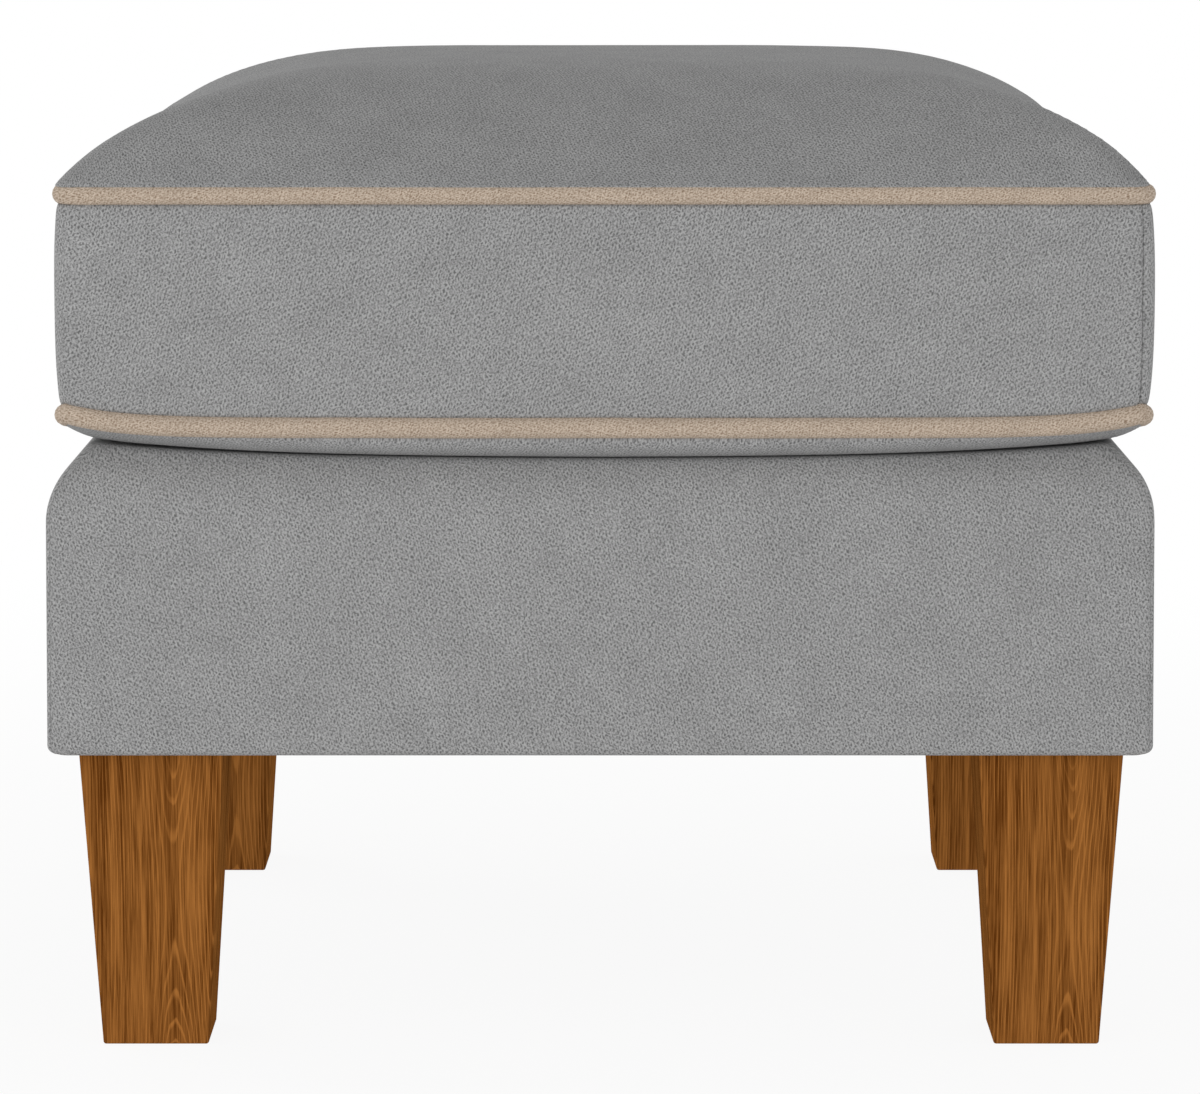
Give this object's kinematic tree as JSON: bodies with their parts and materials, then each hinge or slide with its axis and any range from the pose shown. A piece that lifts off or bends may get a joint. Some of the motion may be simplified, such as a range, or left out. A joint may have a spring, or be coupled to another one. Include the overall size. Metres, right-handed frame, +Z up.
{
  "type": "upholstered footstool",
  "caption": "Square upholstered footstool: padded base with a sloped shoulder, loose piped box cushion with a high crown, and tapered wooden legs.",
  "frame": {"origin": "on the floor, at the middle of the footstool", "axes": "+Z up, -Y to the front that the picture shows, +X to the right seen from the front"},
  "size_m": [0.55, 0.5501, 0.4885],
  "materials": {
    "stained_wood": "satin",
    "frame_wood": "matte",
    "zinc_steel": "satin",
    "webbing": "matte",
    "felt": "matte",
    "foam": "matte",
    "fibre": "matte",
    "grey_fabric": "matte",
    "lining": "matte",
    "dust_cloth": "matte",
    "beige_fabric": "matte",
    "cord": "matte",
    "zip_tape": "matte",
    "zip_teeth": "satin",
    "zip_metal": "satin"
  },
  "bodies": {
    "base": {"leg_front_left": "stained_wood", "leg_front_right": "stained_wood", "leg_rear_left": "stained_wood", "leg_rear_right": "stained_wood", "leg_bolts": "zinc_steel", "leg_inserts": "zinc_steel", "front_rail": "frame_wood", "rear_rail": "frame_wood", "left_rail": "frame_wood", "right_rail": "frame_wood", "corner_block_front_left": "frame_wood", "corner_block_front_right": "frame_wood", "corner_block_rear_left": "frame_wood", "corner_block_rear_right": "frame_wood", "rail_screws": "zinc_steel", "corner_block_screws": "zinc_steel", "webbing_crosswise": "webbing", "webbing_lengthwise": "webbing", "webbing_staples": "zinc_steel", "deck_felt": "felt", "deck_foam": "foam", "side_wadding": "fibre", "front_cover_panel": "grey_fabric", "rear_cover_panel": "grey_fabric", "left_cover_panel": "grey_fabric", "right_cover_panel": "grey_fabric", "platform_lining": "lining", "cover_staples": "zinc_steel", "dust_cover": "dust_cloth", "dust_cover_staples": "zinc_steel"},
    "cushion": {"foam_core": "foam", "top_fibre_pad": "fibre", "bottom_fibre_pad": "fibre", "top_panel": "grey_fabric", "bottom_panel": "grey_fabric", "front_boxing": "grey_fabric", "right_boxing": "grey_fabric", "rear_boxing_upper": "grey_fabric", "rear_boxing_lower": "grey_fabric", "upper_piping_cover": "beige_fabric", "upper_piping_cord": "cord", "lower_piping_cover": "beige_fabric", "lower_piping_cord": "cord", "zip_tape_upper": "zip_tape", "zip_tape_lower": "zip_tape", "zip_chain": "zip_teeth", "zip_stops": "zip_metal"},
    "zip_slider": {"zip_slider": "zip_metal"},
    "zip_pull": {"zip_pull": "zip_metal"}
  },
  "joints": [
    {"name": "cushion_lift", "type": "slide", "parent": "base", "child": "cushion", "axis": [0, 0, 1], "range_m": [0, 0.25]},
    {"name": "zip_run", "type": "slide", "parent": "cushion", "child": "zip_slider", "axis": [-1, 0, 0], "range_m": [0, 0.4074]},
    {"name": "pull_turn", "type": "hinge", "parent": "zip_slider", "child": "zip_pull", "pos_m": [0.2037, 0.27345, 0.37125], "axis": [0, 0, -1], "range_deg": [0, 180]}
  ]
}
